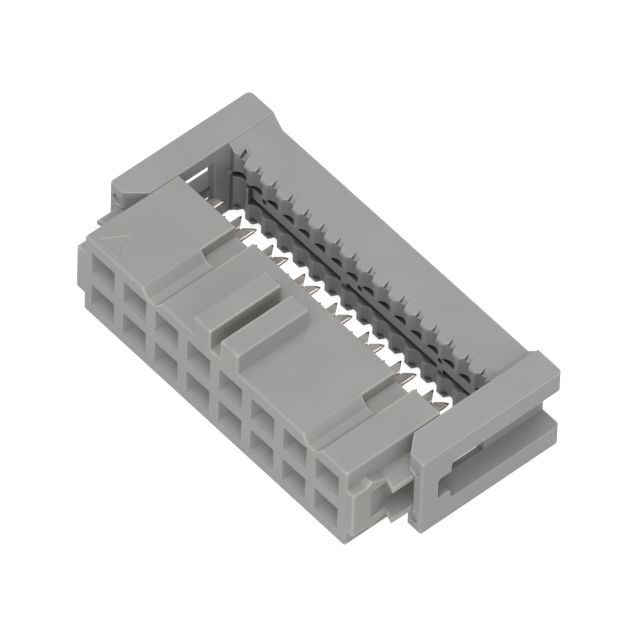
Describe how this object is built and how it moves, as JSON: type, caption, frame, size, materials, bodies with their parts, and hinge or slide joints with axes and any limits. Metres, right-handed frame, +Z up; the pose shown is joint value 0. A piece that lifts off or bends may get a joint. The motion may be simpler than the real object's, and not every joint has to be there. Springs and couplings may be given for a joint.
{
  "type": "ribbon cable socket connector",
  "caption": "Two-row socket for flat ribbon cable, with a polarising key and a slide-on cover held open above forked contacts.",
  "frame": {"origin": "centre of the bounding box in plan, on the plane the socket rests on, with the cover open", "axes": "+X along the contact rows, +Y from the mating face to the cover's back, +Z up through the key; the mating face looks along -Y"},
  "size_m": [0.0248, 0.0132, 0.0074],
  "materials": {
    "housing_plastic": "moulded, fine matt, slightly warm grey",
    "cover_plastic": "moulded, fine matt, slightly cool grey",
    "contact_metal": "sheet copper alloy with bright tin plating"
  },
  "bodies": {
    "housing": {"housing": "housing_plastic", "contact_01": "contact_metal", "contact_02": "contact_metal", "contact_03": "contact_metal", "contact_04": "contact_metal", "contact_05": "contact_metal", "contact_06": "contact_metal", "contact_07": "contact_metal", "contact_08": "contact_metal", "contact_09": "contact_metal", "contact_10": "contact_metal", "contact_11": "contact_metal", "contact_12": "contact_metal", "contact_13": "contact_metal", "contact_14": "contact_metal", "contact_15": "contact_metal", "contact_16": "contact_metal"},
    "cover": {"cover": "cover_plastic"}
  },
  "joints": [
    {"name": "cover_slide", "type": "slide", "parent": "housing", "child": "cover", "axis": [0, -1, 0], "range_m": [0, 0.0028]}
  ]
}
